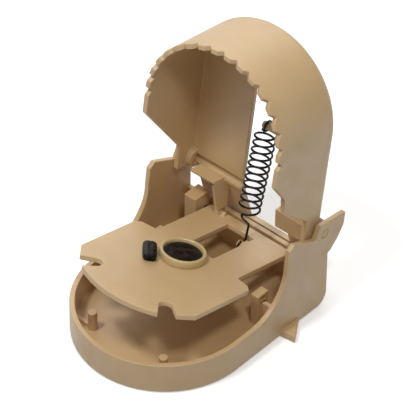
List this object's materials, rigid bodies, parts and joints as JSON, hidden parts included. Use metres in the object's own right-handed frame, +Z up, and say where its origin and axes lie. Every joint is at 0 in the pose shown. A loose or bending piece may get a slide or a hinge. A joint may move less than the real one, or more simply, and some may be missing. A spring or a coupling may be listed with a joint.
{
  "type": "snap mouse trap",
  "caption": "Plastic snap mouse trap, set: D-shaped tray, toothed striker jaw on a rear hinge, extension spring, and a tilting trigger plate with a bait pot.",
  "frame": {"origin": "on the ground, under the middle of the tray, on the plane of symmetry", "axes": "+Z up, -Y towards the nose of the tray where the mouse comes in, +X to the right seen from behind"},
  "size_m": [0.0564, 0.0653, 0.0763],
  "materials": {
    "base_plastic": "satin beige moulded plastic",
    "jaw_plastic": "satin beige moulded plastic",
    "plate_plastic": "satin beige moulded plastic",
    "pot_plastic": "slightly translucent, glossy",
    "bait": "dark paste, half matt",
    "pin_steel": "bright drawn wire",
    "spring_steel": "dark oiled spring wire"
  },
  "bodies": {
    "base": {"base_tray": "base_plastic", "hinge_pin_left": "base_plastic", "hinge_pin_right": "base_plastic", "trigger_pin": "pin_steel"},
    "jaw": {"striker_jaw": "jaw_plastic"},
    "trigger": {"trigger_plate": "plate_plastic", "bait_pot": "pot_plastic", "bait_paste": "bait", "bait_pellet": "bait"},
    "spring": {"snap_spring": "spring_steel"}
  },
  "joints": [
    {"name": "jaw_hinge", "type": "hinge", "parent": "base", "child": "jaw", "pos_m": [0, 0.0275, 0.024], "axis": [1, 0, 0], "range_deg": [0, 92.5]},
    {"name": "trigger_pivot", "type": "hinge", "parent": "base", "child": "trigger", "pos_m": [0, 0.02525, 0.01115], "axis": [1, 0, 0], "range_deg": [0, 23.5]},
    {"name": "spring_swing", "type": "hinge", "parent": "base", "child": "spring", "pos_m": [0.0022, 0.0209, 0.0115], "axis": [1, 0, 0], "range_deg": [0, 61], "deforming": ["snap_spring"]}
  ],
  "couplings": [
    {"joint": "trigger_pivot", "follows": "jaw_hinge", "ratio": 0.25405},
    {"joint": "spring_swing", "follows": "jaw_hinge", "ratio": 0.65946}
  ]
}
